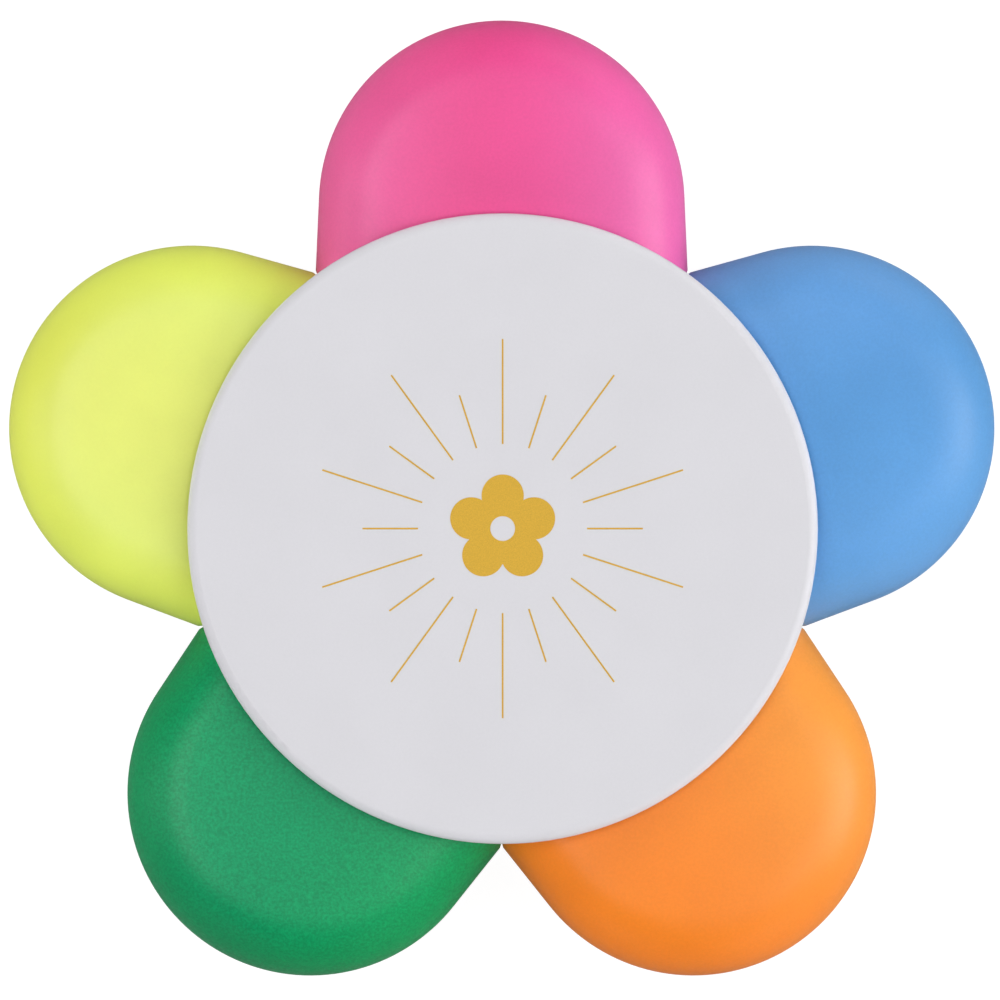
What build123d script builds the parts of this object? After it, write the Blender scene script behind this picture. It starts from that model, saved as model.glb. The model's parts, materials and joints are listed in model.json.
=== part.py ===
from build123d import *
import math
import os

# A five-colour flower highlighter. A round hub of two snapped shells holds five marker barrels that
# point outwards like spokes. Each barrel carries a felt nib fed by a fibre reservoir, and each nib is
# closed by a petal-shaped cap that pulls straight off along its spoke.
#
# Frame: origin at the centre of the hub's resting face, +Z up through the hub, the pink petal on +Y.
# One arm is drawn along +X, and its pieces are then turned about Z to each arm's place.

# ---- Driving dimensions, in millimetres and degrees ---------------------------------------------
ARM_ANGLES = {"pink": 90, "blue": 18, "orange": -54, "green": -126, "yellow": 162}
ARM_COUNT = len(ARM_ANGLES)
FIRST_ARM = 18
BETWEEN_ARMS = FIRST_ARM + 180 / ARM_COUNT

HUB_RADIUS = 30.6
HUB_HEIGHT = 20.0
HUB_WALL = 1.8
HUB_RIM_HEIGHT = 1.5
HUB_RIM_ROUNDING = 0.9
HUB_LEDGE_ROUNDING = 0.12
HUB_WAIST_RADIUS = 30.25
SEAM_BEVEL = 0.2
SEAM_LAP = 1.3
SEAM_GAP = 0.05

PETAL_TIP = 49.5
PETAL_END_RADIUS = 17.8
PETAL_DRAFT = 2.5
PETAL_HEIGHT = 17.0
PETAL_CROWN_RADIUS = 130.0
PETAL_CROWN_CENTRE = 36.0
PETAL_EDGE_RADIUS = 6.0
CAP_WALL = 1.4
CAP_CORE_EDGE_RADIUS = 4.6
CAP_TO_HUB_GAP = 0.1
CAP_TO_CAP_GAP = 0.12

BARREL_RADIUS = 5.75
BARREL_REAR = 9.6
RESERVOIR_BORE_RADIUS = 4.7
NECK_RADIUS = 5.2
COLLAR_RADIUS = 5.55
COLLAR_LENGTH = 6.6
SEAL_BEAD_RADIUS = 5.75
SEAL_BEAD_WIDTH = 1.2
SNOUT_LENGTH = 3.0
SNOUT_RADIUS = 3.2
FIT_GAP = 0.05

NIB_RADIUS = 2.0
NIB_TIP = 45.6
NIB_TAIL = 24.6
NIB_CHISEL_ANGLE = 35
NIB_WEDGE_ANGLE = 24
NIB_EDGE_THICKNESS = 1.5

RESERVOIR_RADIUS = 4.6
PLUG_LENGTH = 3.6
PLUG_FLANGE_THICKNESS = 1.2
PLUG_FLANGE_RADIUS = 5.5
PLUG_WALL = 1.0

LINER_BORE_RADIUS = 5.8
LINER_WALL = 0.9
LINER_MOUTH = 31.4
LINER_SHOULDER = 42.4
LINER_TIP = 47.0
LINER_TIP_RADIUS = 3.9

# ---- Dimensions that follow from them -----------------------------------------------------------
AXIS_HEIGHT = HUB_HEIGHT / 2
HUB_BORE_RADIUS = HUB_RADIUS - HUB_WALL
PETAL_CENTRE = PETAL_TIP - PETAL_END_RADIUS
NECK_REAR = math.sqrt(HUB_BORE_RADIUS**2 - BARREL_RADIUS**2)
NECK_FRONT = HUB_RADIUS + 0.2
COLLAR_FRONT = NECK_FRONT + COLLAR_LENGTH
BARREL_FRONT = COLLAR_FRONT + SNOUT_LENGTH
RESERVOIR_BORE_FRONT = NECK_REAR - 0.6
RESERVOIR_FRONT = RESERVOIR_BORE_FRONT - 0.3
NIB_GUIDE_REAR = COLLAR_FRONT - 1.6
LINER_RADIUS = LINER_BORE_RADIUS + LINER_WALL
ARM_AXIS = Axis((0, 0, AXIS_HEIGHT), (1, 0, 0))
ARM_SECTION = Plane(origin=(0, 0, AXIS_HEIGHT), x_dir=(1, 0, 0), z_dir=(0, -1, 0))


def turned(outline):
    """A round piece on the arm's axis, from its outline as (distance from hub centre, radius) points."""
    with BuildPart() as piece:
        with BuildSketch(ARM_SECTION):
            with BuildLine():
                Polyline(*outline, close=True)
            make_face()
        revolve(axis=ARM_AXIS)
    return piece.part


# ---- Hub shells ---------------------------------------------------------------------------------
CRADLE_STATIONS = (14.0, 24.5)
CRADLE_WIDTH = 15.0
CRADLE_THICKNESS = 1.2
BOSS_CIRCLE_RADIUS = 24.0
BOSS_RADIUS = 3.2
CENTRE_BOSS_RADIUS = 4.6
PIN_RADIUS = 1.6
PIN_LENGTH = 5.0
PIN_LEAD = 0.4
CHANNEL_REAR = 7.6


def hub_dish():
    """One half of the hub's casing, resting on its face: a dish whose rim overhangs the caps' mouths."""
    with BuildPart() as dish:
        with BuildSketch(Plane.XY):
            Circle(HUB_RADIUS)
        extrude(amount=HUB_RIM_HEIGHT)
        rim_edges = dish.edges().sort_by(Axis.Z)
        fillet(rim_edges[0], radius=HUB_RIM_ROUNDING)
        fillet(dish.edges().sort_by(Axis.Z)[-1], radius=HUB_LEDGE_ROUNDING)
        with BuildSketch(Plane.XY.offset(HUB_RIM_HEIGHT)):
            Circle(HUB_WAIST_RADIUS)
        extrude(amount=AXIS_HEIGHT - HUB_RIM_HEIGHT)
        chamfer(dish.edges().sort_by(Axis.Z)[-1], length=SEAM_BEVEL)
        with BuildSketch(Plane.XY.offset(HUB_WALL)):
            Circle(HUB_BORE_RADIUS)
        extrude(amount=AXIS_HEIGHT, mode=Mode.SUBTRACT)
    return dish.part


def cradle_ribs():
    """Cross ribs that stand on a dish's floor under each barrel, not yet hollowed to the barrels."""
    with BuildPart() as ribs:
        with BuildSketch(Plane.XY.offset(HUB_WALL)):
            for station in CRADLE_STATIONS:
                with PolarLocations(station, ARM_COUNT, start_angle=FIRST_ARM):
                    Rectangle(CRADLE_THICKNESS, CRADLE_WIDTH)
        extrude(amount=AXIS_HEIGHT - HUB_WALL - SEAM_GAP)
    return ribs.part


def boss_columns():
    """The round columns that the two shells snap together by: one in the middle and one between arms."""
    with BuildPart() as columns:
        with BuildSketch(Plane.XY.offset(HUB_WALL)):
            Circle(CENTRE_BOSS_RADIUS)
            with PolarLocations(BOSS_CIRCLE_RADIUS, ARM_COUNT, start_angle=BETWEEN_ARMS):
                Circle(BOSS_RADIUS)
        extrude(amount=AXIS_HEIGHT - HUB_WALL - SEAM_GAP)
    return columns.part


def barrel_room():
    """The space that the five barrels take in the hub: a channel inside and a hole through the wall."""
    channel = (NECK_REAR - CHANNEL_REAR, BARREL_RADIUS + FIT_GAP)
    hole = (HUB_WALL * 3, NECK_RADIUS + FIT_GAP)
    with BuildPart() as room:
        for start, (length, radius) in ((CHANNEL_REAR, channel), (NECK_REAR - HUB_WALL, hole)):
            with Locations((0, 0, AXIS_HEIGHT)):
                with PolarLocations(start + length / 2, ARM_COUNT, start_angle=FIRST_ARM):
                    Cylinder(radius, length, rotation=(0, 90, 0))
    return room.part


lap_radius = (HUB_WAIST_RADIUS + HUB_BORE_RADIUS) / 2

with BuildPart() as hub_bottom_shell:
    add(hub_dish())
    add(cradle_ribs())
    add(boss_columns())
    add(barrel_room(), mode=Mode.SUBTRACT)
    # A rebate inside the rim takes the upper shell's tongue.
    with BuildSketch(Plane.XY.offset(AXIS_HEIGHT - SEAM_LAP)):
        Circle(lap_radius + SEAM_GAP)
        Circle(HUB_BORE_RADIUS - 1, mode=Mode.SUBTRACT)
    extrude(amount=SEAM_LAP, mode=Mode.SUBTRACT)
    # Sockets for the upper shell's pins.
    with BuildSketch(Plane.XY.offset(AXIS_HEIGHT - PIN_LENGTH - 1)):
        Circle(PIN_RADIUS + FIT_GAP / 2)
        with PolarLocations(BOSS_CIRCLE_RADIUS, ARM_COUNT, start_angle=BETWEEN_ARMS):
            Circle(PIN_RADIUS + FIT_GAP / 2)
    extrude(amount=PIN_LENGTH + 1, mode=Mode.SUBTRACT)

with BuildPart() as hub_top_shell:
    add(mirror(hub_dish(), about=Plane.XY.offset(AXIS_HEIGHT)))
    add(mirror(cradle_ribs(), about=Plane.XY.offset(AXIS_HEIGHT)))
    add(mirror(boss_columns(), about=Plane.XY.offset(AXIS_HEIGHT)))
    # The tongue that laps inside the lower shell's rim.
    with BuildSketch(Plane.XY.offset(AXIS_HEIGHT - SEAM_LAP + SEAM_GAP)):
        Circle(lap_radius)
        Circle(HUB_BORE_RADIUS, mode=Mode.SUBTRACT)
    extrude(amount=SEAM_LAP + HUB_WALL)
    add(barrel_room(), mode=Mode.SUBTRACT)
    # Pins that press into the lower shell's sockets.
    with BuildSketch(Plane.XY.offset(AXIS_HEIGHT - PIN_LENGTH)):
        Circle(PIN_RADIUS)
        with PolarLocations(BOSS_CIRCLE_RADIUS, ARM_COUNT, start_angle=BETWEEN_ARMS):
            Circle(PIN_RADIUS)
    extrude(amount=PIN_LENGTH + HUB_WALL)
    pin_ends = hub_top_shell.faces().sort_by(Axis.Z).group_by(Axis.Z)[0]
    chamfer(pin_ends.edges(), length=PIN_LEAD)

# ---- Marker: barrel, nib, reservoir and plug -----------------------------------------------------
with BuildPart() as barrel:
    bead_middle = (NECK_FRONT + COLLAR_FRONT) / 2
    add(
        turned(
            [
                (BARREL_REAR, RESERVOIR_BORE_RADIUS),
                (BARREL_REAR, BARREL_RADIUS),
                (NECK_REAR, BARREL_RADIUS),
                (NECK_REAR, NECK_RADIUS),
                (NECK_FRONT, NECK_RADIUS),
                (NECK_FRONT, COLLAR_RADIUS),
                (COLLAR_FRONT, COLLAR_RADIUS),
                (BARREL_FRONT, SNOUT_RADIUS),
                (BARREL_FRONT, NIB_RADIUS),
                (NIB_GUIDE_REAR, NIB_RADIUS),
                (NIB_GUIDE_REAR, NIB_RADIUS * 2),
                (RESERVOIR_BORE_FRONT, NIB_RADIUS * 2),
                (RESERVOIR_BORE_FRONT, RESERVOIR_BORE_RADIUS),
            ]
        )
    )
    # The raised bead that seals in the cap's liner.
    with BuildSketch(ARM_SECTION):
        with BuildLine():
            ThreePointArc(
                (bead_middle - SEAL_BEAD_WIDTH / 2, COLLAR_RADIUS),
                (bead_middle, SEAL_BEAD_RADIUS),
                (bead_middle + SEAL_BEAD_WIDTH / 2, COLLAR_RADIUS),
            )
            Line(
                (bead_middle + SEAL_BEAD_WIDTH / 2, COLLAR_RADIUS),
                (bead_middle - SEAL_BEAD_WIDTH / 2, COLLAR_RADIUS),
            )
        make_face()
    revolve(axis=ARM_AXIS)
    snout_edges = barrel.edges().filter_by(GeomType.CIRCLE).group_by(Axis.X)
    fillet(snout_edges[-1].sort_by(SortBy.RADIUS)[-1], radius=0.5)

nib_tail_outline = [
    (NIB_TAIL, 0),
    (NIB_TAIL, NIB_RADIUS * 0.3),
    (NIB_TAIL + NIB_RADIUS, NIB_RADIUS),
]

with BuildPart() as nib:
    add(turned(nib_tail_outline + [(NIB_TIP, NIB_RADIUS), (NIB_TIP, 0)]))
    # The writing end: one slanted face, and two flanks that narrow it to a chisel edge.
    slant = Plane(
        origin=(NIB_TIP, 0, AXIS_HEIGHT + NIB_RADIUS * 0.5),
        z_dir=(math.sin(math.radians(NIB_CHISEL_ANGLE)), 0, -math.cos(math.radians(NIB_CHISEL_ANGLE))),
    )
    split(bisect_by=slant, keep=Keep.BOTTOM)
    for side in (1, -1):
        flank = Plane(
            origin=(NIB_TIP, side * NIB_EDGE_THICKNESS / 2, AXIS_HEIGHT),
            z_dir=(
                math.sin(math.radians(NIB_WEDGE_ANGLE)),
                side * math.cos(math.radians(NIB_WEDGE_ANGLE)),
                0,
            ),
        )
        split(bisect_by=flank, keep=Keep.BOTTOM)

with BuildPart() as reservoir:
    add(
        turned(
            [
                (BARREL_REAR + PLUG_LENGTH - PLUG_FLANGE_THICKNESS, 0),
                (BARREL_REAR + PLUG_LENGTH - PLUG_FLANGE_THICKNESS, RESERVOIR_RADIUS),
                (RESERVOIR_FRONT, RESERVOIR_RADIUS),
                (RESERVOIR_FRONT, NIB_RADIUS),
                *reversed(nib_tail_outline),
            ]
        )
    )

with BuildPart() as end_plug:
    plug_rear = BARREL_REAR - PLUG_FLANGE_THICKNESS
    plug_front = plug_rear + PLUG_LENGTH
    add(
        turned(
            [
                (plug_rear, RESERVOIR_BORE_RADIUS - PLUG_WALL),
                (plug_rear, PLUG_FLANGE_RADIUS),
                (BARREL_REAR, PLUG_FLANGE_RADIUS),
                (BARREL_REAR, RESERVOIR_BORE_RADIUS),
                (plug_front - PIN_LEAD, RESERVOIR_BORE_RADIUS),
                (plug_front, RESERVOIR_BORE_RADIUS - PIN_LEAD),
                (plug_front, 0),
                (plug_front - PLUG_WALL, 0),
                (plug_front - PLUG_WALL, RESERVOIR_BORE_RADIUS - PLUG_WALL),
            ]
        )
    )

# ---- Cap: petal shell and inner liner -------------------------------------------------------------
WEB_THICKNESS = 1.2
WEB_REAR = 38.5
CRUSH_RIB_WIDTH = 1.0


def petal_plan(inset):
    """A petal seen from above, smaller all round by inset: a round end, and sides that flare inwards."""
    radius = PETAL_END_RADIUS - inset
    draft = math.radians(PETAL_DRAFT)
    touch_x = PETAL_CENTRE + radius * math.sin(draft)
    touch_y = radius * math.cos(draft)
    root_x = HUB_RADIUS / 2
    root_y = touch_y + (touch_x - root_x) * math.tan(draft)
    with BuildSketch(Plane.XY.offset(AXIS_HEIGHT)) as plan:
        with BuildLine():
            ThreePointArc((touch_x, -touch_y), (PETAL_CENTRE + radius, 0), (touch_x, touch_y))
            Polyline((touch_x, touch_y), (root_x, root_y), (root_x, -root_y), (touch_x, -touch_y))
        make_face()
    return plan.sketch


def long_rim_edges(part):
    """The edges along a petal block's two faces, except those at its root, inside the hub."""
    root_x = HUB_RADIUS / 2
    rims = part.edges().filter_by(lambda edge: abs((edge @ 0.5).Z - AXIS_HEIGHT) > PETAL_HEIGHT / 4)
    return rims.filter_by(lambda edge: (edge @ 0.5).X > root_x + 0.1)


with BuildPart() as cap_outside:
    half_height = PETAL_HEIGHT / 2
    extrude(petal_plan(0), amount=half_height + 1, both=True)
    for side in (1, -1):
        with Locations((PETAL_CROWN_CENTRE, 0, AXIS_HEIGHT + side * (half_height - PETAL_CROWN_RADIUS))):
            Sphere(PETAL_CROWN_RADIUS, rotation=(0, side * 90, 0), mode=Mode.INTERSECT)
    fillet(long_rim_edges(cap_outside.part), radius=PETAL_EDGE_RADIUS)

with BuildPart() as cap_core:
    extrude(petal_plan(CAP_WALL), amount=PETAL_HEIGHT / 2 - CAP_WALL, both=True)
    fillet(long_rim_edges(cap_core.part), radius=CAP_CORE_EDGE_RADIUS)
    # Webs left standing in the hollow grip the liner from both sides, above and below.
    with Locations((WEB_REAR, 0, AXIS_HEIGHT)):
        Box(
            PETAL_TIP - WEB_REAR,
            PETAL_END_RADIUS * 2,
            WEB_THICKNESS,
            align=(Align.MIN, Align.CENTER, Align.CENTER),
            mode=Mode.SUBTRACT,
        )
        Box(
            PETAL_TIP - WEB_REAR,
            CRUSH_RIB_WIDTH,
            PETAL_HEIGHT,
            align=(Align.MIN, Align.CENTER, Align.CENTER),
            mode=Mode.SUBTRACT,
        )
    add(
        turned(
            [
                (HUB_RADIUS / 2, 0),
                (HUB_RADIUS / 2, LINER_RADIUS),
                (LINER_SHOULDER, LINER_RADIUS),
                (LINER_TIP, LINER_TIP_RADIUS),
                (LINER_TIP, 0),
            ]
        )
    )

with BuildPart() as cap_shell:
    add(cap_outside.part)
    add(cap_core.part, mode=Mode.SUBTRACT)
    Cylinder(HUB_WAIST_RADIUS + CAP_TO_HUB_GAP, HUB_HEIGHT * 2, mode=Mode.SUBTRACT)
    # The corners of the mouth are trimmed along the line half-way to the next petal.
    half_sector = math.pi / ARM_COUNT
    apex = CAP_TO_CAP_GAP / 2 / math.sin(half_sector)
    wedge_side = (PETAL_TIP * 2, (PETAL_TIP * 2 - apex) * math.tan(half_sector))
    with BuildSketch(Plane.XY):
        with BuildLine():
            Polyline((apex, 0), wedge_side, (wedge_side[0], -wedge_side[1]), close=True)
        make_face()
    extrude(amount=HUB_HEIGHT, mode=Mode.INTERSECT)

with BuildPart() as cap_liner:
    add(
        turned(
            [
                (LINER_MOUTH, LINER_BORE_RADIUS),
                (LINER_MOUTH, LINER_RADIUS),
                (LINER_SHOULDER, LINER_RADIUS),
                (LINER_TIP, LINER_TIP_RADIUS),
                (LINER_TIP, 0),
                (LINER_TIP - LINER_WALL, 0),
                (LINER_TIP - LINER_WALL, LINER_TIP_RADIUS - LINER_WALL),
                (LINER_SHOULDER - LINER_WALL / 2, LINER_BORE_RADIUS),
            ]
        )
    )
    mouth_edges = cap_liner.edges().filter_by(GeomType.CIRCLE).group_by(Axis.X)[0]
    chamfer(mouth_edges.sort_by(SortBy.RADIUS)[0], length=PIN_LEAD)

# ---- Every piece in its place ----------------------------------------------------------------------
os.makedirs("parts", exist_ok=True)

hub_bottom_shell.part.label = "hub_bottom_shell"
export_step(hub_bottom_shell.part, "parts/hub_bottom_shell.step")
hub_top_shell.part.label = "hub_top_shell"
export_step(hub_top_shell.part, "parts/hub_top_shell.step")

arm_pieces = {
    "barrel": barrel.part,
    "nib": nib.part,
    "reservoir": reservoir.part,
    "end_plug": end_plug.part,
    "cap": cap_shell.part,
    "cap_liner": cap_liner.part,
}
for colour, angle in ARM_ANGLES.items():
    for piece_name, piece in arm_pieces.items():
        placed = piece.rotate(Axis.Z, angle)
        placed.label = f"{colour}_{piece_name}"
        export_step(placed, f"parts/{placed.label}.step")
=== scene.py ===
import json
import math

import bmesh
import bpy
from mathutils import Matrix, Vector, noise


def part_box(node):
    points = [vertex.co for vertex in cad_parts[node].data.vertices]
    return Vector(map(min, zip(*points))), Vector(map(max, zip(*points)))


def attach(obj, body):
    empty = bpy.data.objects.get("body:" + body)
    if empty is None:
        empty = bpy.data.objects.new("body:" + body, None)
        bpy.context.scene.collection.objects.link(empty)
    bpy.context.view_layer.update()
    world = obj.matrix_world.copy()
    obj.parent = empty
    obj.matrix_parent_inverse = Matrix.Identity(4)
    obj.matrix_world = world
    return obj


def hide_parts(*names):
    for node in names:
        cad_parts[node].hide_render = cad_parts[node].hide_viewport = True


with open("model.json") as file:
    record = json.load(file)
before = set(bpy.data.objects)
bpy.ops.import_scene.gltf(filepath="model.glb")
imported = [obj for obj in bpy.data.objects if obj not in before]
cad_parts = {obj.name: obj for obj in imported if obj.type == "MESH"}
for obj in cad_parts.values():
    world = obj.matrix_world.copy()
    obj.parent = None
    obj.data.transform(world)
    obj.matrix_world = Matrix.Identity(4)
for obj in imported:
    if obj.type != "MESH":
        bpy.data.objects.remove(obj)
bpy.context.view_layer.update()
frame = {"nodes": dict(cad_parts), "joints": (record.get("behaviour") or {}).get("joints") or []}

# The looks of a five-colour flower highlighter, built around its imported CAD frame. Everything is in
# metres. One arm is drawn along +X, with its axis at height 0, and its pieces are then turned about
# Z to each arm's place.

MM = 0.001
TINY = 1e-7

# ---- Places and sizes read from the frame --------------------------------------------------------
COLOURS = ("pink", "blue", "orange", "green", "yellow")
ARM_AXES = {joint["child"].removesuffix("_cap"): joint["axis"] for joint in frame["joints"]}
ARM_ANGLES = {colour: math.atan2(ARM_AXES[colour][1], ARM_AXES[colour][0]) for colour in COLOURS}

# The pink arm lies along +Y, so a length along it is read as a Y here, and a radius as an X.
hub_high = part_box("hub_top_shell")[1]
cap_low, cap_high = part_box("pink_cap")
liner_low, liner_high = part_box("pink_cap_liner")
barrel_low, barrel_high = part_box("pink_barrel")
nib_low, nib_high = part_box("pink_nib")

HUB_RADIUS = hub_high[0]
HUB_TOP = hub_high[2]
AXIS_HEIGHT = HUB_TOP / 2
PETAL_TIP = cap_high[1]
PETAL_HALF_HEIGHT = (cap_high[2] - cap_low[2]) / 2
LINER_RADIUS = liner_high[0]
LINER_MOUTH, LINER_TIP = liner_low[1], liner_high[1]
BARREL_RADIUS = barrel_high[0]
BARREL_REAR, BARREL_FRONT = barrel_low[1], barrel_high[1]
NIB_RADIUS = nib_high[0]
NIB_TAIL, NIB_TIP = nib_low[1], nib_high[1]

# Every material, by the name of its slot in the record.
materials = {}

# ---- Mesh helpers --------------------------------------------------------------------------------
MERGE_DISTANCE = 0.002 * MM
SLIVER_LENGTH = 0.001 * MM
LATHE_SEGMENTS = 96
ROUND_STEPS = 4


def finished_object(name, mesh_builder, slot, body, node=None):
    """A smooth-shaded object from a bmesh, riding on a body, that may stand for a CAD node."""
    bmesh.ops.remove_doubles(mesh_builder, verts=mesh_builder.verts, dist=MERGE_DISTANCE)
    bmesh.ops.recalc_face_normals(mesh_builder, faces=mesh_builder.faces)
    mesh = bpy.data.meshes.new(name)
    mesh_builder.to_mesh(mesh)
    mesh_builder.free()
    mesh.shade_smooth()
    mesh.materials.append(materials[slot])
    piece = bpy.data.objects.new(name, mesh)
    bpy.context.scene.collection.objects.link(piece)
    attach(piece, body)
    if node:
        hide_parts(node)
    return piece


def arm_piece(colour, kind, mesh_builder, slot, body, node):
    """A finished object from a bmesh drawn along +X, turned to its arm's place."""
    turn = Matrix.Rotation(ARM_ANGLES[colour], 4, "Z")
    mesh_builder.transform(Matrix.Translation((0, 0, AXIS_HEIGHT)) @ turn)
    finished_object(f"{colour}_{kind}", mesh_builder, slot, body, node)


def add_strip(mesh_builder, first, second, closed=True):
    """Joins two rows of vertices of the same length with quads."""
    count = len(first) if closed else len(first) - 1
    for index in range(count):
        following = (index + 1) % len(first)
        corners = [first[index], first[following], second[following], second[index]]
        mesh_builder.faces.new(corners)


def add_fan(mesh_builder, centre, rim):
    """Joins a ring of vertices to one vertex in its middle with triangles."""
    for index, corner in enumerate(rim):
        mesh_builder.faces.new([centre, corner, rim[(index + 1) % len(rim)]])


def softened(outline, radii):
    """An outline of (x, radius) points with rounded corners. radii maps a corner's number to how
    far along its two sides the rounding reaches."""
    points = []
    for number, point in enumerate(outline):
        here = Vector(point)
        if number not in radii:
            points.append(here)
            continue
        following = Vector(outline[(number + 1) % len(outline)])
        before = (Vector(outline[number - 1]) - here).normalized() * radii[number]
        after = (following - here).normalized() * radii[number]
        for step in range(ROUND_STEPS + 1):
            share = step / ROUND_STEPS
            points.append(here + before * (1 - share) ** 2 + after * share**2)
    return points


def lathe(mesh_builder, outline):
    """A solid of revolution about the X axis from a closed outline of (x, radius) points."""
    turns = [2 * math.pi * step / LATHE_SEGMENTS for step in range(LATHE_SEGMENTS)]
    rings = []
    for x, radius in outline:
        around = turns if radius > TINY else [0]
        places = [(x, radius * math.cos(turn), radius * math.sin(turn)) for turn in around]
        rings.append([mesh_builder.verts.new(place) for place in places])
    for first, second in zip(rings, rings[1:] + rings[:1]):
        if len(first) == len(second) == 1:
            continue
        if len(first) == 1:
            add_fan(mesh_builder, first[0], second)
        elif len(second) == 1:
            add_fan(mesh_builder, second[0], first)
        else:
            add_strip(mesh_builder, first, second)


# ---- The petal caps' shape -----------------------------------------------------------------------
PETAL_END_RADIUS = 17.8 * MM
PETAL_CENTRE = PETAL_TIP - PETAL_END_RADIUS
PETAL_DRAFT = math.radians(2.5)
PETAL_EDGE_RADIUS = 6.0 * MM
PETAL_CROWN_RADIUS = 130.0 * MM
PETAL_CROWN_CENTRE = 36.0 * MM
CAP_WALL = 1.4 * MM
OUTER_LIP = 0.25 * MM
INNER_LIP = 0.15 * MM
MOUTH_RADIUS = HUB_RADIUS - 0.25 * MM
HALF_SECTOR = math.pi / len(COLOURS)
CAP_TO_CAP_GAP = 0.12 * MM
# Next to its neighbour, a cap is trimmed along a line that leaves the hub's axis this far out.
CORNER_APEX = CAP_TO_CAP_GAP / 2 / math.sin(HALF_SECTOR)
CORNER_LENGTH = 0.4 * MM

ARC_STEPS = 72
SIDE_STEPS = 10
CROWN_STEPS = 10
EDGE_STEPS = 12
WALL_STEPS = 4

# ---- Node helpers for the materials --------------------------------------------------------------
# The sockets of a Mix node that mixes colours.
MIX_FACTOR, MIX_FIRST, MIX_SECOND, MIX_RESULT = 0, 6, 7, 2

# A cap's colour is painted darker and deeper between these distances from its petal's centre, as
# painted shade at the rolled edge.
RIM_SHADE_START = PETAL_END_RADIUS - 6.3 * MM
RIM_SHADE_END = PETAL_END_RADIUS - 1.3 * MM


class Nodes:
    """A node tree, with short ways to add to it."""

    def __init__(self, tree):
        self.tree = tree

    def fill(self, node, inputs):
        """Gives some of a node's sockets, by name or number, a value or a link each."""
        for socket, value in inputs.items():
            if isinstance(value, bpy.types.NodeSocket):
                self.tree.links.new(value, node.inputs[socket])
            else:
                node.inputs[socket].default_value = value

    def node(self, kind, inputs, **settings):
        """A new node, with its settings and some of its sockets filled."""
        made = self.tree.nodes.new(kind)
        for key, value in settings.items():
            setattr(made, key, value)
        self.fill(made, inputs)
        return made

    def ramp(self, factor, stops, interpolation="LINEAR"):
        """A factor turned into a colour by a ramp's stops, each a (place, colour)."""
        made = self.node("ShaderNodeValToRGB", {"Fac": factor})
        made.color_ramp.interpolation = interpolation
        elements = made.color_ramp.elements
        for place, _ in stops[1:-1]:
            elements.new(place)
        for element, (place, colour) in zip(elements, stops):
            element.position = place
            element.color = colour
        return made.outputs["Color"]


class Surface(Nodes):
    """A Principled material, with short names for what the surfaces here share."""

    def __init__(self, slot, roughness):
        material = bpy.data.materials.new(slot)
        material.use_nodes = True
        materials[slot] = material
        super().__init__(material.node_tree)
        self.place = self.node("ShaderNodeTexCoord", {}).outputs["Object"]
        self.roughness = roughness
        self.shade({"Roughness": roughness})

    def shade(self, inputs):
        """Fills some of the shader's sockets."""
        self.fill(self.tree.nodes["Principled BSDF"], inputs)

    def translucence(self, weight, radius, scale):
        """Lets light in: how much, how far for red, green and blue, and the scale of that."""
        inputs = {"Weight": weight, "Radius": radius, "Scale": scale}
        self.shade({f"Subsurface {socket}": value for socket, value in inputs.items()})

    def noise(self, feature, detail=2.0, place=None):
        """Noise whose features are about this many metres across."""
        inputs = {"Vector": place or self.place, "Scale": 1 / feature, "Detail": detail}
        return self.node("ShaderNodeTexNoise", inputs).outputs["Fac"]

    def turned_place(self, angle, stretch=1):
        """The coordinates turned to an arm, and stretched along it."""
        inputs = {"Vector": self.place, "Rotation": (0, 0, angle), "Scale": (stretch, 1, 1)}
        return self.node("ShaderNodeMapping", inputs, vector_type="TEXTURE").outputs["Vector"]

    def share(self, value, start, end, **settings):
        """0 where a value is at its start, rising to 1 at its end."""
        inputs = {"Value": value, "From Min": start, "From Max": end}
        return self.node("ShaderNodeMapRange", inputs, **settings).outputs["Result"]

    def across(self, angle, reach, colours):
        """Colours that melt into each other across an arm, from its right edge to its left. The caps
        use them to paint lighter sides where side light and sheen fall.
        """
        parts = self.node("ShaderNodeSeparateXYZ", {"Vector": self.turned_place(angle)})
        stops = [(step / (len(colours) - 1), colour) for step, colour in enumerate(colours)]
        return self.ramp(self.share(parts.outputs["Y"], -reach, reach), stops, "B_SPLINE")

    def painted_rim_shade_share(self, angle):
        """0 over the middle of a petal, rising smoothly to 1 at its rim: where the painted rim shade
        goes.
        """
        flatten = {0: self.turned_place(angle), 1: (1, 1, 0)}
        flat = self.node("ShaderNodeVectorMath", flatten, operation="MULTIPLY").outputs["Vector"]
        reach = {0: flat, 1: (PETAL_CENTRE, 0, 0)}
        reach = self.node("ShaderNodeVectorMath", reach, operation="DISTANCE").outputs["Value"]
        return self.share(reach, RIM_SHADE_START, RIM_SHADE_END, interpolation_type="SMOOTHSTEP")

    def between(self, factor, low, high, low_at=0.3, high_at=0.7):
        """A colour between two, which are reached at two values of a factor."""
        return self.ramp(factor, [(low_at, low), (high_at, high)])

    def blend(self, factor, first, second, mode="MIX"):
        """Two colours mixed by a factor."""
        inputs = {MIX_FACTOR: factor, MIX_FIRST: first, MIX_SECOND: second}
        made = self.node("ShaderNodeMix", inputs, data_type="RGBA", blend_type=mode)
        return made.outputs[MIX_RESULT]

    def times(self, first, second):
        """Two colours multiplied."""
        return self.blend(1.0, first, second, "MULTIPLY")

    def bumps(self, *layers):
        """Stacked bumps, each a (height, depth in metres, strength)."""
        normal = {}
        for height, depth, strength in layers:
            inputs = {"Height": height, "Distance": depth, "Strength": strength, **normal}
            normal = {"Normal": self.node("ShaderNodeBump", inputs).outputs["Normal"]}
        self.shade(normal)


def linear(red, green, blue):
    """A colour given as it looks on a screen, 0 to 255, as the shader wants it."""
    levels = []
    for value in (red, green, blue):
        share = value / 255
        levels.append(share / 12.92 if share <= 0.04045 else ((share + 0.055) / 1.055) ** 2.4)
    return (*levels, 1)


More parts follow.
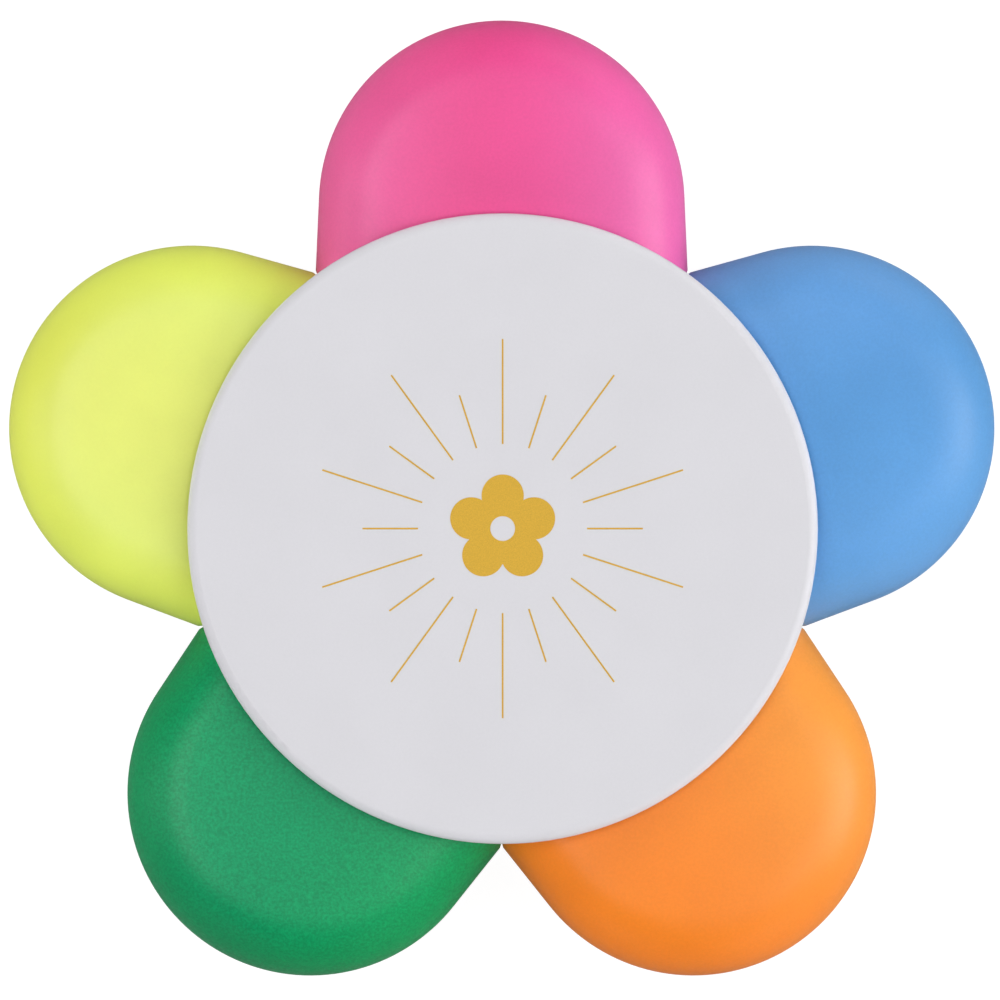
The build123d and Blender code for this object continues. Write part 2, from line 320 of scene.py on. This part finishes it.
def grey(level):
    """A grey of this brightness."""
    return (level, level, level, 1)


def shade_of(colour, factor):
    """A colour made darker or lighter."""
    return (*(min(1.0, level * factor) for level in colour[:3]), 1)


# ---- Materials -----------------------------------------------------------------------------------
WHITE = grey(1)

# Moulded plastic: the size of its features, the depth of those that stand out, and how much its
# shade and its roughness change.
CLOUD_SIZE = 9 * MM
SPECKLE_SIZE = 0.26 * MM
SATIN_SIZE = 0.6 * MM
WAVE_SIZE, WAVE_DEPTH = 14 * MM, 0.12 * MM
SPARK_SIZE, SPARK_DEPTH = 0.16 * MM, 0.012 * MM
SHADE_CHANGE = 0.06
SMOOTHER, ROUGHER = 0.05, 0.06

# Felt: its fibres' width, how many times longer they are, and the size of its wet patches.
FIBRE_SIZE, FIBRE_STRETCH, FIBRE_DEPTH = 0.14 * MM, 14, 0.05 * MM
FUZZ_SIZE, FUZZ_DEPTH = 0.09 * MM, 0.02 * MM
WET_PATCH_SIZE = 1.8 * MM


def moulded_plastic(surface, colour, gloss=0.5, grain=1.0, mottle=1.0):
    """Makes a surface satin moulded plastic: spark-eroded grain, slow waviness, and a colour that
    varies a little."""
    clouds = surface.between(surface.noise(CLOUD_SIZE), grey(1 - SHADE_CHANGE * mottle), WHITE)
    speckle = surface.between(surface.noise(SPECKLE_SIZE), grey(1 - SHADE_CHANGE * grain), WHITE)
    smooth, rough = grey(surface.roughness - SMOOTHER), grey(surface.roughness + ROUGHER)
    surface.shade(
        {
            "Base Color": surface.times(colour, surface.times(clouds, speckle)),
            "Roughness": surface.between(surface.noise(SATIN_SIZE), smooth, rough),
            "Specular IOR Level": gloss,
        }
    )
    waves = surface.noise(WAVE_SIZE, detail=1.0)
    sparks = surface.noise(SPARK_SIZE, detail=3.0)
    spark_depth = SPARK_DEPTH * math.sqrt(grain)
    surface.bumps((waves, WAVE_DEPTH * mottle, 0.5), (sparks, spark_depth, 0.55))


def plain_plastic(slot, colour, roughness, **strengths):
    """Moulded plastic of one colour."""
    moulded_plastic(Surface(slot, roughness), colour, **strengths)


def cap_plastic(slot, angle, colours, rim, **strengths):
    """A cap's moulded plastic, which lets a little light in. Its colours go across its arm from the
    right edge to the left, seen from its tip, painting lighter sides where side light and sheen fall,
    and are multiplied by rim where the petal ends, painting a darker, deeper shade at the rolled
    edge."""
    surface = Surface(slot, roughness=0.4)
    surface.translucence(weight=0.12, radius=(1.0, 0.8, 0.8), scale=0.9 * MM)
    # Painted shade: the colour grows darker and deeper towards the petal's rim.
    depth = surface.blend(surface.painted_rim_shade_share(angle), WHITE, rim)
    # Painted side light and sheen: the colours across the arm are lighter at its sides, and the
    # painted rim shade multiplies them.
    pigment_with_painted_light = surface.times(surface.across(angle, PETAL_END_RADIUS, colours), depth)
    moulded_plastic(surface, pigment_with_painted_light, **strengths)


def milky_plastic(slot, colour):
    """Unpigmented polypropylene: milky, smoother, with more light passing in."""
    surface = Surface(slot, roughness=0.34)
    surface.translucence(weight=0.35, radius=(1.0, 1.0, 1.1), scale=1.2 * MM)
    clouds = surface.noise(feature=4 * MM)
    mottle = surface.between(clouds, shade_of(colour, 0.95), shade_of(colour, 1.02))
    surface.shade({"Base Color": mottle})
    surface.bumps((surface.noise(feature=0.3 * MM), 0.01 * MM, 0.4))


def inked_felt(slot, colour, angle):
    """Bonded fibres soaked in ink: streaks along the arm, a fuzzy surface and darker, wetter
    patches."""
    surface = Surface(slot, roughness=0.78)
    along = surface.turned_place(angle, FIBRE_STRETCH)
    fibres = surface.noise(FIBRE_SIZE, detail=4.0, place=along)
    streaks = surface.between(fibres, shade_of(colour, 0.62), shade_of(colour, 1.12), 0.32, 0.66)
    wet = surface.between(surface.noise(WET_PATCH_SIZE), grey(0), WHITE, 0.35, 0.75)
    surface.shade(
        {
            "Base Color": surface.blend(wet, streaks, shade_of(colour, 0.8)),
            "Sheen Weight": 0.35,
            "Sheen Roughness": 0.5,
        }
    )
    surface.bumps((fibres, FIBRE_DEPTH, 0.8), (surface.noise(FUZZ_SIZE), FUZZ_DEPTH, 0.5))


def printed_gold(slot, colour):
    """Flat gold ink: fine metallic flakes in a matt binder."""
    surface = Surface(slot, roughness=0.5)
    flakes = surface.noise(feature=0.12 * MM)
    glitter = surface.between(flakes, shade_of(colour, 0.9), shade_of(colour, 1.08))
    surface.shade({"Base Color": glitter, "Metallic": 0.15})
    surface.bumps((surface.noise(feature=0.2 * MM), 0.004 * MM, 0.5))


# Each cap's colours run across its arm and paint lighter sides where side light and sheen fall. Its
# rim multiplier paints a darker, deeper shade at the rolled edge. Grain and gloss belong to the
# plastic itself.
CAP_LOOKS = {
    "pink": {
        "colours": (linear(234, 118, 190), linear(240, 54, 133), linear(245, 117, 178)),
        "rim": (1.0, 0.89, 0.92, 1),
        "grain": 0.9,
    },
    "blue": {
        "colours": (linear(111, 174, 238), linear(75, 150, 213), linear(111, 169, 234)),
        "rim": (1.0, 0.94, 0.91, 1),
        "grain": 1.2,
    },
    "orange": {
        "colours": (linear(255, 138, 25), linear(253, 139, 45), linear(249, 165, 61)),
        "rim": (1.0, 0.97, 1.1, 1),
        "grain": 0.9,
    },
    "green": {
        "colours": (linear(3, 176, 109), linear(3, 155, 104), linear(3, 177, 101)),
        "rim": (0.8, 0.86, 0.78, 1),
        "grain": 5.2,
        "gloss": 0.42,
    },
    "yellow": {
        "colours": (linear(230, 247, 123), linear(233, 236, 114), linear(234, 252, 129)),
        "rim": (1.0, 1.0, 0.67, 1),
        "grain": 0.3,
    },
}
INK_COLOURS = {
    "pink": linear(255, 60, 150),
    "blue": linear(40, 170, 245),
    "orange": linear(255, 140, 30),
    "green": linear(60, 215, 90),
    "yellow": linear(235, 250, 40),
}

plain_plastic("hub_plastic", linear(215, 214, 219), 0.46, grain=0.3, mottle=0.4)
plain_plastic("barrel_plastic", linear(232, 232, 234), 0.36)
plain_plastic("plug_plastic", linear(205, 207, 212), 0.4)
milky_plastic("liner_plastic", linear(226, 228, 230))
printed_gold("gold_print", linear(214, 169, 50))
for colour in COLOURS:
    cap_plastic(f"{colour}_cap_plastic", ARM_ANGLES[colour], **CAP_LOOKS[colour])
    inked_felt(f"{colour}_inked_felt", INK_COLOURS[colour], ARM_ANGLES[colour])


# ---- Petal caps ----------------------------------------------------------------------------------
# A cap's skin is a grid. Each row runs along the petal's outline, from one side of the mouth round
# the tip to the other side, at one inset and height. The rows go from the middle of the upper face,
# out over the rounded edge, down the side and back under to the middle of the lower face.
def mouth_corner(rise, slope, mouth):
    """Where a line y = rise - slope * x meets the mouth's circle."""
    inside = (rise * slope) ** 2 - (1 + slope**2) * (rise**2 - mouth**2)
    x = (rise * slope + math.sqrt(inside)) / (1 + slope**2)
    return x, rise - slope * x


def side_line(inset, mouth):
    """The petal's straight side at an inset, from the mouth outwards. Its corner is trimmed
    half-way to the next petal."""
    radius = PETAL_END_RADIUS - inset
    slope = math.tan(PETAL_DRAFT)
    touch_x = PETAL_CENTRE + radius * math.sin(PETAL_DRAFT)
    rise = radius * math.cos(PETAL_DRAFT) + touch_x * slope
    trim = math.tan(HALF_SECTOR)
    corner = mouth_corner(rise, slope, mouth)
    if corner[1] > (corner[0] - CORNER_APEX) * trim:
        corner = mouth_corner(-CORNER_APEX * trim, -trim, mouth)
    crossing = (rise + CORNER_APEX * trim) / (trim + slope)
    start = max(crossing, corner[0] + CORNER_LENGTH)
    points = [corner]
    for step in range(SIDE_STEPS - 1):
        x = start + (touch_x - start) * step / (SIDE_STEPS - 1)
        points.append((x, rise - slope * x))
    return points


def outline_row(inset, mouth):
    """The petal's outline at an inset, as (x, y) points from the mouth's +Y side round the tip to
    its -Y side."""
    radius = PETAL_END_RADIUS - inset
    side = side_line(inset, mouth)
    start = math.pi / 2 - PETAL_DRAFT
    arc = []
    for step in range(ARC_STEPS + 1):
        angle = start * (1 - 2 * step / ARC_STEPS)
        arc.append((PETAL_CENTRE + radius * math.cos(angle), radius * math.sin(angle)))
    row = side + arc + [(x, -y) for x, y in reversed(side)]
    if radius < TINY:
        row = [(x, 0.0) for x, _ in row]
    return row


def crown_height(x, y, depth):
    """The upper face's height above the mid-plane, for a skin at a depth under the outside."""
    reach = (x - PETAL_CROWN_CENTRE) ** 2 + y**2
    fall = PETAL_CROWN_RADIUS - math.sqrt(PETAL_CROWN_RADIUS**2 - reach)
    return PETAL_HALF_HEIGHT - depth - fall


def skin_rows(depth, mouth):
    """All the rows of a skin at a depth under the outside, as (x, y, z) points. They end at a mouth
    radius."""
    edge = PETAL_EDGE_RADIUS - depth
    middle = PETAL_END_RADIUS - depth
    levels = []
    for step in range(CROWN_STEPS):
        levels.append((middle + (edge - middle) * step / CROWN_STEPS, 0))
    for step in range(EDGE_STEPS + 1):
        angle = math.pi / 2 * (1 - step / EDGE_STEPS)
        levels.append((edge * (1 - math.cos(angle)), edge * (1 - math.sin(angle))))
    upper = []
    for inset, drop in levels:
        row = outline_row(depth + inset, mouth)
        upper.append([(x, y, crown_height(x, y, depth) - drop) for x, y in row])
    wall = []
    for step in range(1, WALL_STEPS):
        share = 1 - 2 * step / WALL_STEPS
        wall.append([(x, y, z * share) for x, y, z in upper[-1]])
    lower = [[(x, y, -z) for x, y, z in row] for row in reversed(upper)]
    return upper + wall + lower


def mouth_loop(rows):
    """The closed loop of points that a skin ends in at the mouth."""
    return [row[0] for row in rows] + [row[-1] for row in reversed(rows)]


def add_skin(mesh_builder, rows):
    """Adds a skin's quads, and returns its mouth's vertices."""
    grid = [[mesh_builder.verts.new(point) for point in row] for row in rows]
    for first, second in zip(grid, grid[1:]):
        add_strip(mesh_builder, first, second, closed=False)
    return mouth_loop(grid)


def lip_loops():
    """The loops of points across the mouth's wall, from the outer skin to the inner one, with both
    edges rounded."""
    outer, inner = [], []
    for loops, size, skin, inwards in ((outer, OUTER_LIP, 0, 1), (inner, INNER_LIP, CAP_WALL, -1)):
        for step in range(1, ROUND_STEPS + 1):
            angle = math.pi / 2 * step / ROUND_STEPS
            depth = skin + inwards * size * (1 - math.cos(angle))
            mouth = MOUTH_RADIUS + size * (1 - math.sin(angle))
            loops.append(mouth_loop(skin_rows(depth, mouth)))
    return outer + inner[::-1]


LINER_WALL = 0.9 * MM
LINER_SHOULDER = LINER_TIP - 4.6 * MM
LINER_TIP_RADIUS = 3.9 * MM
WEB_REAR = 38.5 * MM
WEB_THICKNESS = 1.2 * MM
CRUSH_RIB_WIDTH = 1.0 * MM
WEB_POINTS = 40
# The outline that a web follows starts this many times further out than the web.
WEB_OUTLINE_START = 1.02


def add_web(mesh_builder, outer, inner, thickness):
    """A flat web between an outer and an inner line. Its thickness is a vector."""
    outer, inner = resampled(outer, WEB_POINTS), resampled(inner, WEB_POINTS)
    faces = []
    for side in (1, -1):
        shift = Vector(thickness) * side / 2
        rows = [
            [mesh_builder.verts.new(point + shift) for point in line] for line in (outer, inner)
        ]
        add_strip(mesh_builder, rows[0], rows[1], closed=False)
        faces.append(rows)
    (outer_a, inner_a), (outer_b, inner_b) = faces
    add_strip(mesh_builder, outer_a + inner_a[::-1], outer_b + inner_b[::-1])


def resampled(points, count):
    """The same line in evenly spaced points."""
    points = [Vector(point) for point in points]
    lengths = [0.0]
    for first, second in zip(points, points[1:]):
        lengths.append(lengths[-1] + (second - first).length)
    made, index = [], 0
    for step in range(count):
        goal = lengths[-1] * step / (count - 1)
        while index < len(points) - 2 and lengths[index + 1] < goal:
            index += 1
        span = max(lengths[index + 1] - lengths[index], TINY)
        share = min(1.0, max(0.0, (goal - lengths[index]) / span))
        made.append(points[index].lerp(points[index + 1], share))
    return made


def liner_silhouette():
    """The liner's outer line, from the webs' rear edge on one side round the tip to the other."""
    half = [
        (WEB_REAR, LINER_RADIUS),
        (LINER_SHOULDER, LINER_RADIUS),
        (LINER_TIP, LINER_TIP_RADIUS),
        (LINER_TIP, 0),
    ]
    return half + [(x, -y) for x, y in reversed(half[:-1])]


def cut_at_rear(line):
    """The part of a line of points that is beyond the webs' rear edge, with both ends on it."""
    kept = [point for point in line if point[0] >= WEB_REAR]
    return [(WEB_REAR, kept[0][1])] + kept + [(WEB_REAR, kept[-1][1])]


def add_webs(mesh_builder):
    """The cross of webs inside the cap that grips the liner, sunk half-way into the cap's wall."""
    sunk = CAP_WALL / 2
    liner = liner_silhouette()
    flat = cut_at_rear(outline_row(sunk, WEB_REAR * WEB_OUTLINE_START))
    add_web(
        mesh_builder,
        [(x, y, 0) for x, y in flat],
        [(x, y, 0) for x, y in liner],
        (0, 0, WEB_THICKNESS),
    )
    spine = [row[len(row) // 2] for row in skin_rows(sunk, MOUTH_RADIUS)]
    upright = cut_at_rear([(x, z) for x, _, z in spine])
    add_web(
        mesh_builder,
        [(x, 0, z) for x, z in upright],
        [(x, 0, z) for x, z in liner],
        (0, CRUSH_RIB_WIDTH, 0),
    )


def petal_cap(colour):
    """One hollow petal cap, with a rounded lip and the webs inside."""
    builder = bmesh.new()
    outside = add_skin(builder, skin_rows(0, MOUTH_RADIUS + OUTER_LIP))
    inside = add_skin(builder, skin_rows(CAP_WALL, MOUTH_RADIUS + INNER_LIP))
    lip = [[builder.verts.new(point) for point in loop] for loop in lip_loops()]
    loops = [outside, *lip, inside]
    for first, second in zip(loops, loops[1:]):
        add_strip(builder, first, second)
    bmesh.ops.remove_doubles(builder, verts=builder.verts, dist=MERGE_DISTANCE)
    bmesh.ops.dissolve_degenerate(builder, edges=builder.edges, dist=SLIVER_LENGTH)
    add_webs(builder)
    cap = f"{colour}_cap"
    arm_piece(colour, "petal_shell", builder, f"{colour}_cap_plastic", cap, cap)


# ---- Liners, barrels and nibs --------------------------------------------------------------------
def cap_liner(colour):
    """The inner cap that closes round the nib."""
    bore = LINER_RADIUS - LINER_WALL
    outline = [
        (LINER_MOUTH, bore),
        (LINER_MOUTH, LINER_RADIUS),
        (LINER_SHOULDER, LINER_RADIUS),
        (LINER_TIP, LINER_TIP_RADIUS),
        (LINER_TIP, 0),
        (LINER_TIP - LINER_WALL, 0),
        (LINER_TIP - LINER_WALL, LINER_TIP_RADIUS - LINER_WALL),
        (LINER_SHOULDER - LINER_WALL / 2, bore),
    ]
    radii = {0: 0.4 * MM, 1: 0.25 * MM, 2: 0.6 * MM, 3: 0.5 * MM, 6: 0.5 * MM, 7: 0.6 * MM}
    builder = bmesh.new()
    lathe(builder, softened(outline, radii))
    cap, node = f"{colour}_cap", f"{colour}_cap_liner"
    arm_piece(colour, "liner_tube", builder, "liner_plastic", cap, node)


NECK_RADIUS = 5.2 * MM
NECK_REAR = 28.22 * MM
NECK_FRONT = 30.8 * MM
COLLAR_RADIUS = 5.55 * MM
COLLAR_FRONT = BARREL_FRONT - 3.0 * MM
SHOULDER_LENGTH = 0.5 * MM
SHOULDER_DROP = 0.7 * MM
SNOUT_RADIUS = 3.2 * MM
SEAL_BEAD_HEIGHT = BARREL_RADIUS - COLLAR_RADIUS
SEAL_BEAD_WIDTH = 1.2 * MM
BEAD_STEPS = 8
RESERVOIR_BORE = 4.7 * MM
RESERVOIR_FRONT = NECK_REAR - 0.6 * MM
NIB_GUIDE_REAR = COLLAR_FRONT - 1.6 * MM
NIB_WELL_RADIUS = NIB_RADIUS * 2


def marker_barrel(colour):
    """The barrel, with a seal bead round its collar and a stepped snout that holds the nib."""
    bead_middle = (NECK_FRONT + COLLAR_FRONT) / 2
    bead = []
    for step in range(BEAD_STEPS + 1):
        share = step / BEAD_STEPS
        place = bead_middle + SEAL_BEAD_WIDTH * (share - 0.5)
        bead.append((place, COLLAR_RADIUS + SEAL_BEAD_HEIGHT * math.sin(math.pi * share) ** 2))
    rear = [
        (BARREL_REAR, RESERVOIR_BORE),
        (BARREL_REAR, BARREL_RADIUS),
        (NECK_REAR, BARREL_RADIUS),
        (NECK_REAR, NECK_RADIUS),
        (NECK_FRONT, NECK_RADIUS),
        (NECK_FRONT, COLLAR_RADIUS),
    ]
    front = [
        (COLLAR_FRONT, COLLAR_RADIUS),
        (COLLAR_FRONT + SHOULDER_LENGTH, COLLAR_RADIUS - SHOULDER_DROP),
        (BARREL_FRONT, SNOUT_RADIUS),
        (BARREL_FRONT, NIB_RADIUS),
        (NIB_GUIDE_REAR, NIB_RADIUS),
        (NIB_GUIDE_REAR, NIB_WELL_RADIUS),
        (RESERVOIR_FRONT, NIB_WELL_RADIUS),
        (RESERVOIR_FRONT, RESERVOIR_BORE),
    ]
    first = len(rear) + len(bead)
    radii = {1: 0.4 * MM, 2: 0.2 * MM, 4: 0.15 * MM, 5: 0.25 * MM}
    radii |= {first: 0.3 * MM, first + 2: 0.45 * MM, first + 3: 0.2 * MM}
    builder = bmesh.new()
    lathe(builder, softened(rear + bead + front, radii))
    arm_piece(colour, "barrel_tube", builder, "barrel_plastic", "hub", f"{colour}_barrel")


# A nib's section at any place along it is its rod, narrowed by a slanted face and by two flanks.
NIB_SLANT = math.tan(math.radians(35))
NIB_SLANT_TOP = NIB_RADIUS / 2
NIB_FLANK = math.tan(math.radians(24))
NIB_EDGE_HALF = 0.75 * MM
NIB_SOFTNESS = 14
NIB_END_ROUNDING = 0.28 * MM
NIB_FUZZ_SIZE, NIB_FUZZ_DEPTH = 0.3 * MM, 0.035 * MM
NIB_TAIL_RADIUS = NIB_RADIUS * 0.3
NIB_ROD_RINGS = (0.3, 0.6, 0.9)
NIB_ROD_END = BARREL_FRONT - 0.6 * MM
NIB_SEGMENTS = 56
NIB_CHISEL_STEPS = 44


def nib_ring(x, inset=0.0):
    """One ring of a nib's points, with soft corners where its faces meet, and its centre."""
    slant_height = NIB_SLANT_TOP - (NIB_TIP - x) * NIB_SLANT
    centre = max(0.0, (slant_height + NIB_RADIUS) / 2)
    ring = []
    for step in range(NIB_SEGMENTS):
        angle = 2 * math.pi * step / NIB_SEGMENTS
        across, up = math.cos(angle), math.sin(angle)
        reaches = [math.sqrt(NIB_RADIUS**2 - (centre * across) ** 2) - centre * up]
        if up < -TINY:
            reaches.append((centre - slant_height) / -up)
        if abs(across) > TINY:
            reaches.append((NIB_EDGE_HALF + (NIB_TIP - x) * NIB_FLANK) / abs(across))
        reach = sum(length**-NIB_SOFTNESS for length in reaches) ** (-1 / NIB_SOFTNESS)
        point = Vector((x, reach * across, centre + reach * up))
        fuzz = abs(noise.noise(point / NIB_FUZZ_SIZE)) * NIB_FUZZ_DEPTH
        ring.append(point - Vector((0, across, up)) * (fuzz + inset))
    return ring, Vector((x, 0, centre))


def chisel_nib(colour):
    """A felt nib with a chisel end whose edges are soft."""
    tail_end = NIB_TAIL + NIB_RADIUS
    places = [(NIB_TAIL, NIB_RADIUS - NIB_TAIL_RADIUS), (tail_end, 0.0)]
    places += [(NIB_ROD_END * share + tail_end * (1 - share), 0.0) for share in NIB_ROD_RINGS]
    chisel_end = NIB_TIP - NIB_END_ROUNDING
    for step in range(NIB_CHISEL_STEPS + 1):
        share = step / NIB_CHISEL_STEPS
        places.append((NIB_ROD_END + (chisel_end - NIB_ROD_END) * share, 0.0))
    for step in range(1, ROUND_STEPS + 1):
        angle = math.pi / 2 * step / ROUND_STEPS
        x = chisel_end + NIB_END_ROUNDING * math.sin(angle)
        places.append((x, NIB_END_ROUNDING * (1 - math.cos(angle))))
    rings = [nib_ring(x, inset) for x, inset in places]
    builder = bmesh.new()
    grid = [[builder.verts.new(point) for point in ring] for ring, _ in rings]
    for first, second in zip(grid, grid[1:]):
        add_strip(builder, first, second)
    for ring, middle in ((grid[0], (NIB_TAIL, 0, 0)), (grid[-1], rings[-1][1])):
        add_fan(builder, builder.verts.new(middle), ring)
    arm_piece(colour, "chisel_nib", builder, f"{colour}_inked_felt", "hub", f"{colour}_nib")


for colour in COLOURS:
    petal_cap(colour)
    cap_liner(colour)
    marker_barrel(colour)
    chisel_nib(colour)

# ---- CAD nodes that keep their shape -------------------------------------------------------------
node_slots = {"hub_top_shell": "hub_plastic", "hub_bottom_shell": "hub_plastic"}
for colour in COLOURS:
    node_slots[f"{colour}_end_plug"] = "plug_plastic"
    node_slots[f"{colour}_reservoir"] = f"{colour}_inked_felt"
for node, slot in node_slots.items():
    piece = frame["nodes"][node]
    piece.data.materials.clear()
    piece.data.materials.append(materials[slot])

# ---- Gold print ----------------------------------------------------------------------------------
INK_THICKNESS = 0.02 * MM
BLOSSOM_LOBES = 5
LOBE_CENTRE = 3.2 * MM
LOBE_RADIUS = 2.05 * MM
BLOSSOM_EYE_RADIUS = 1.2 * MM
BLOSSOM_POINTS = 200
RAY_COUNT = 20
RAY_WIDTH = 0.16 * MM
RAY_START = 8.2 * MM
LONG_RAY_END = 18.4 * MM
SHORT_RAY_END = 13.6 * MM


def ink_rows(mesh_builder, outline):
    """An outline's vertices on the hub's upper face, and on top of the ink."""
    return [
        [mesh_builder.verts.new((x, y, height)) for x, y in outline]
        for height in (HUB_TOP, HUB_TOP + INK_THICKNESS)
    ]


def add_blossom(mesh_builder):
    """A round-petalled blossom with an open middle."""
    outer, inner = [], []
    sector = 2 * math.pi / BLOSSOM_LOBES
    for step in range(BLOSSOM_POINTS):
        angle = 2 * math.pi * step / BLOSSOM_POINTS
        off = (angle + sector / 2) % sector - sector / 2
        sideways = LOBE_CENTRE * math.sin(off)
        radius = LOBE_CENTRE * math.cos(off) + math.sqrt(LOBE_RADIUS**2 - sideways**2)
        heading = Vector((-math.sin(angle), math.cos(angle)))
        outer.append(heading * radius)
        inner.append(heading * BLOSSOM_EYE_RADIUS)
    outer_low, outer_top = ink_rows(mesh_builder, outer)
    inner_low, inner_top = ink_rows(mesh_builder, inner)
    loops = [outer_low, outer_top, inner_top, inner_low]
    for first, second in zip(loops, loops[1:] + loops[:1]):
        add_strip(mesh_builder, first, second)


def add_ray(mesh_builder, angle, end):
    """A thin straight ray."""
    half = RAY_WIDTH / 2
    turn = Matrix.Rotation(angle, 2)
    corners = [(RAY_START, -half), (end, -half), (end, half), (RAY_START, half)]
    low, top = ink_rows(mesh_builder, [turn @ Vector(corner) for corner in corners])
    mesh_builder.faces.new(top)
    mesh_builder.faces.new(low[::-1])
    add_strip(mesh_builder, low, top)


def gold_print():
    """A plain decoration: a blossom in a ring of evenly spaced rays."""
    builder = bmesh.new()
    add_blossom(builder)
    for step in range(RAY_COUNT):
        angle = math.pi / 2 + 2 * math.pi * step / RAY_COUNT
        add_ray(builder, angle, SHORT_RAY_END if step % 2 else LONG_RAY_END)
    piece = finished_object("gold_blossom_print", builder, "gold_print", "hub")
    piece.data.shade_flat()


gold_print()

# ---- Stage, light and camera ---------------------------------------------------------------------
FLOOR_SIZE = 40.0
# The floor lies just under the hub's base, so that the two faces don't share a plane.
FLOOR_GAP = 0.02 * MM
FLOOR_ALBEDO = 0.2
# How brightly the floor glows for the camera, and for everything else.
FLOOR_GLOW = 0.93
FLOOR_BOUNCE = 0.08

# The sky's brightness from the horizon, 0, to overhead, 1.
SKY = ((0.0, 0.21), (0.35, 0.15), (0.72, 0.02), (0.93, 0.07), (1.0, 0.02))
LIGHT_DISTANCE = 1.22
LIGHT_TARGET = Vector((0, 0, 0.01))
# Banks of light stand either side of the camera: each a heading, a height and a power.
BANKS = ((0, 60, 3.2), (0, 30, 4.5), (60, 60, 0.6), (120, 60, 0.7), (180, 60, 4.5), (300, 60, 0.9))
BANK_SIZE = 0.9
# A skirt of low lights, which don't show in reflections: each a heading and a power.
SKIRT = ((0, 5.4), (60, 3.1), (120, 3.2), (180, 4.1), (240, 2.8), (300, 2.8))
SKIRT_SIZE = 0.6
SKIRT_HEIGHT = 15

LENS = 1000.0
SENSOR = 36.0
FRAME_WIDTH = 97.37 * MM
VIEW_CENTRE = (-0.16 * MM, 2.84 * MM)
# The camera's lean towards +X and +Y, as slopes.
VIEW_LEAN = (-0.010, -0.007)
CAMERA_REACH = 100.0


def floor():
    """A plain white floor that glows for the camera and gives little light back to the object."""
    bpy.ops.mesh.primitive_plane_add(size=FLOOR_SIZE, location=(0, 0, -FLOOR_GAP))
    plane = bpy.context.object
    plane.name = "floor"
    surface = Surface("floor", roughness=1.0)
    seen = surface.node("ShaderNodeLightPath", {}).outputs["Is Camera Ray"]
    brightness = {"Value": seen, "To Min": FLOOR_BOUNCE, "To Max": FLOOR_GLOW}
    surface.shade(
        {
            "Base Color": grey(FLOOR_ALBEDO),
            "Specular IOR Level": 0.0,
            "Emission Color": WHITE,
            "Emission Strength": surface.node("ShaderNodeMapRange", brightness).outputs["Result"],
        }
    )
    plane.data.materials.append(materials["floor"])


def sky():
    """A weak sky whose brightness changes with height."""
    world = bpy.data.worlds.new("studio")
    world.use_nodes = True
    nodes = Nodes(world.node_tree)
    direction = nodes.node("ShaderNodeTexCoord", {}).outputs["Generated"]
    height = nodes.node("ShaderNodeSeparateXYZ", {"Vector": direction}).outputs["Z"]
    glow = nodes.ramp(height, [(place, grey(level)) for place, level in SKY])
    nodes.fill(world.node_tree.nodes["Background"], {"Color": glow})
    bpy.context.scene.world = world


def softbox(name, heading, height, size, power, glossy=True):
    """A large soft area light from a heading and a height, in degrees. It may be left out of
    reflections."""
    light = bpy.data.lights.new(name, "AREA")
    light.shape = "DISK"
    light.size = size
    light.energy = power
    lamp = bpy.data.objects.new(name, light)
    turn, rise = math.radians(heading), math.radians(height)
    flat = math.cos(rise)
    away = Vector((flat * math.cos(turn), flat * math.sin(turn), math.sin(rise)))
    lamp.location = away * LIGHT_DISTANCE
    lamp.rotation_euler = (LIGHT_TARGET - lamp.location).to_track_quat("-Z", "Y").to_euler()
    lamp.visible_glossy = glossy
    bpy.context.scene.collection.objects.link(lamp)


def studio():
    """Soft light from all round, strongest from the left and the right."""
    sky()
    for heading, height, power in BANKS:
        softbox(f"bank_{heading}_{height}", heading, height, BANK_SIZE, power)
    for heading, power in SKIRT:
        softbox(f"skirt_{heading}", heading, SKIRT_HEIGHT, SKIRT_SIZE, power, glossy=False)
    bpy.context.scene.view_settings.view_transform = "Standard"


def camera():
    """A long lens looking almost straight down."""
    data = bpy.data.cameras.new("camera")
    data.lens = LENS
    data.sensor_width = SENSOR
    data.clip_end = CAMERA_REACH
    eye = bpy.data.objects.new("camera", data)
    target = Vector((*VIEW_CENTRE, AXIS_HEIGHT))
    away = Vector((*VIEW_LEAN, 1)).normalized()
    eye.location = target + away * (FRAME_WIDTH * LENS / SENSOR)
    eye.rotation_euler = (-VIEW_LEAN[1], VIEW_LEAN[0], 0)
    bpy.context.scene.collection.objects.link(eye)
    bpy.context.scene.camera = eye


floor()
studio()
camera()
